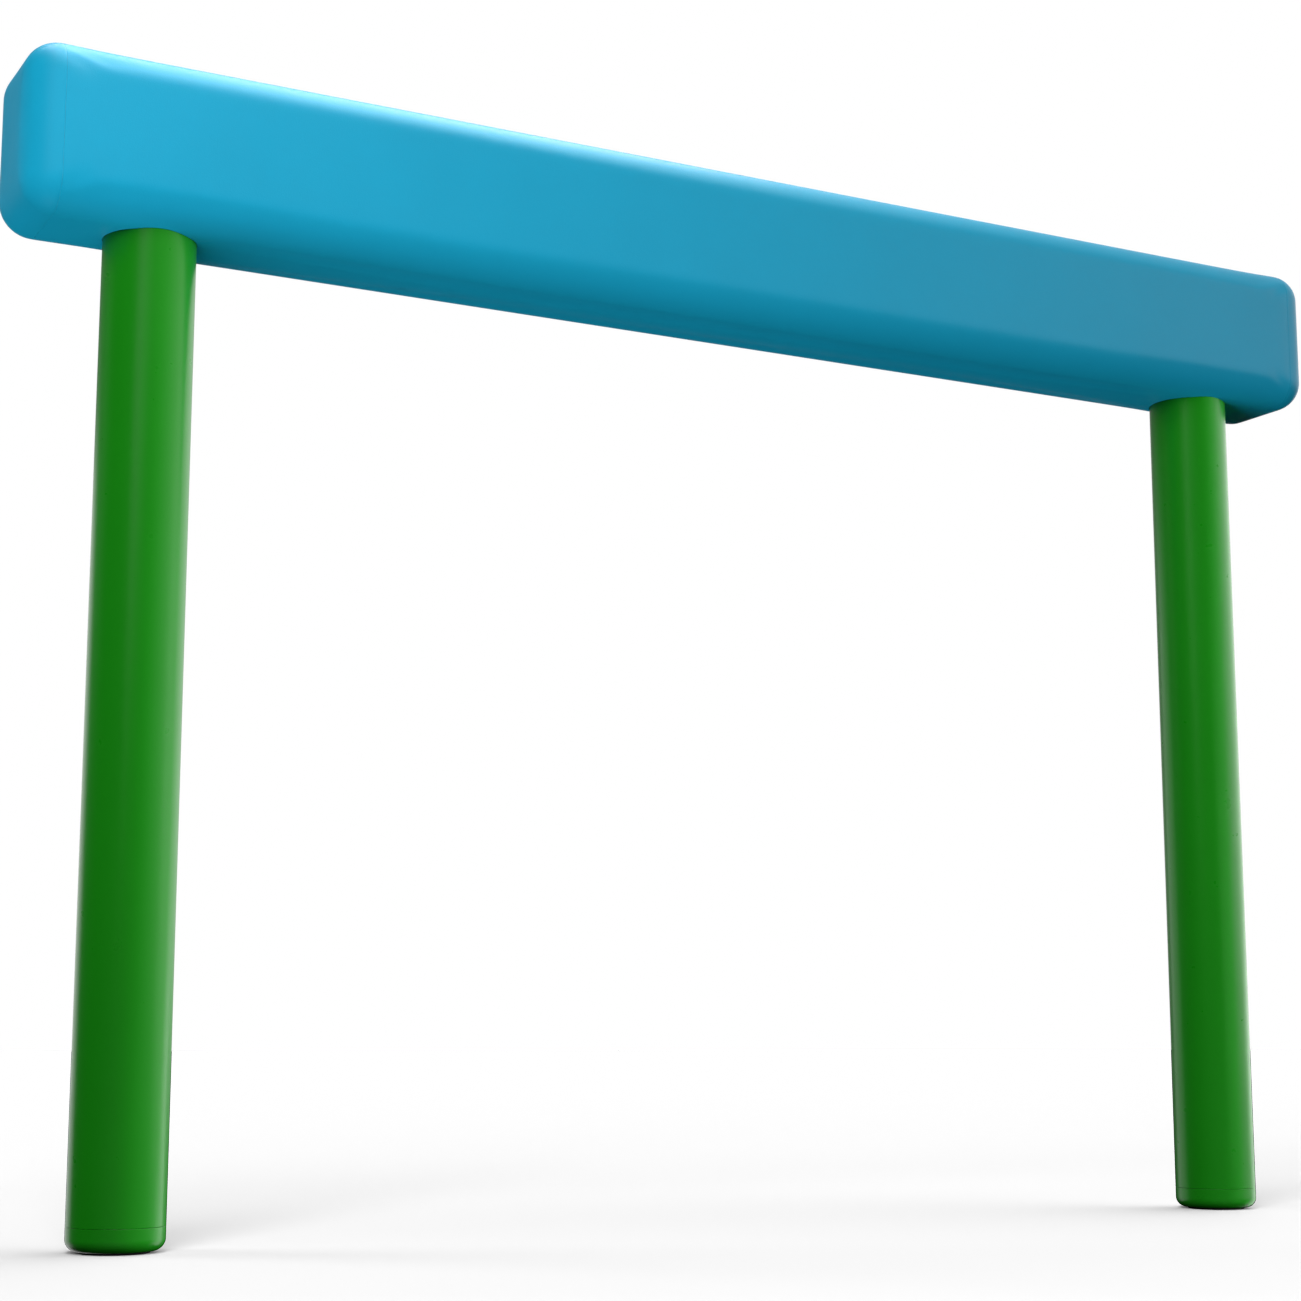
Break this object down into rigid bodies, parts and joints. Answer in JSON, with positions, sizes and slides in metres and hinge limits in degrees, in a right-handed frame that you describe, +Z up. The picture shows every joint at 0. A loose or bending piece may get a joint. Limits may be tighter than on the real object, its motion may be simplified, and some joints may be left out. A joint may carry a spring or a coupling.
{
  "type": "balance beam",
  "caption": "Short padded practice balance beam: a rounded vinyl-covered bar on two round steel posts with screw-in levelling feet.",
  "frame": {"origin": "on the floor, midway between the two posts' axes", "axes": "+X along the beam towards its right end, +Y across it to the back, +Z up"},
  "size_m": [1.48, 0.13, 1.06],
  "materials": {
    "blue_vinyl": "satin",
    "padding_foam": "matte",
    "extruded_aluminium": "satin",
    "grey_plastic": "matte",
    "green_paint": "gloss",
    "plated_steel": "satin",
    "green_nylon": "gloss",
    "black_rubber": "matte"
  },
  "bodies": {
    "beam_and_posts": {"cover_sleeve": "blue_vinyl", "left_end_cover": "blue_vinyl", "right_end_cover": "blue_vinyl", "foam_sleeve": "padding_foam", "left_end_foam": "padding_foam", "right_end_foam": "padding_foam", "core_beam": "extruded_aluminium", "left_end_plug": "grey_plastic", "right_end_plug": "grey_plastic", "left_post": "green_paint", "left_top_plate": "green_paint", "right_post": "green_paint", "right_top_plate": "green_paint", "end_plug_screws": "plated_steel", "top_plate_bolts": "plated_steel", "left_nut_plate": "plated_steel", "left_base_disc": "plated_steel", "left_levelling_nut": "plated_steel", "right_nut_plate": "plated_steel", "right_base_disc": "plated_steel", "right_levelling_nut": "plated_steel", "left_post_bush": "black_rubber", "right_post_bush": "black_rubber"},
    "left_sole": {"left_sole": "black_rubber"},
    "left_foot": {"left_foot": "green_nylon", "left_foot_stud": "plated_steel"},
    "right_sole": {"right_sole": "black_rubber"},
    "right_foot": {"right_foot": "green_nylon", "right_foot_stud": "plated_steel"}
  },
  "joints": [
    {"name": "left_foot_travel", "type": "slide", "parent": "beam_and_posts", "child": "left_sole", "axis": [0, 0, -1], "range_m": [0, 0.01]},
    {"name": "left_foot_turn", "type": "hinge", "parent": "left_sole", "child": "left_foot", "pos_m": [-0.61, 0, 0], "axis": [0, 0, -1], "range_deg": [0, 1440]},
    {"name": "right_foot_travel", "type": "slide", "parent": "beam_and_posts", "child": "right_sole", "axis": [0, 0, -1], "range_m": [0, 0.01]},
    {"name": "right_foot_turn", "type": "hinge", "parent": "right_sole", "child": "right_foot", "pos_m": [0.61, 0, 0], "axis": [0, 0, -1], "range_deg": [0, 1440]}
  ],
  "couplings": [
    {"joint": "left_foot_travel", "follows": "left_foot_turn", "m_per_rad": 0.00039788},
    {"joint": "right_foot_travel", "follows": "right_foot_turn", "m_per_rad": 0.00039788}
  ]
}
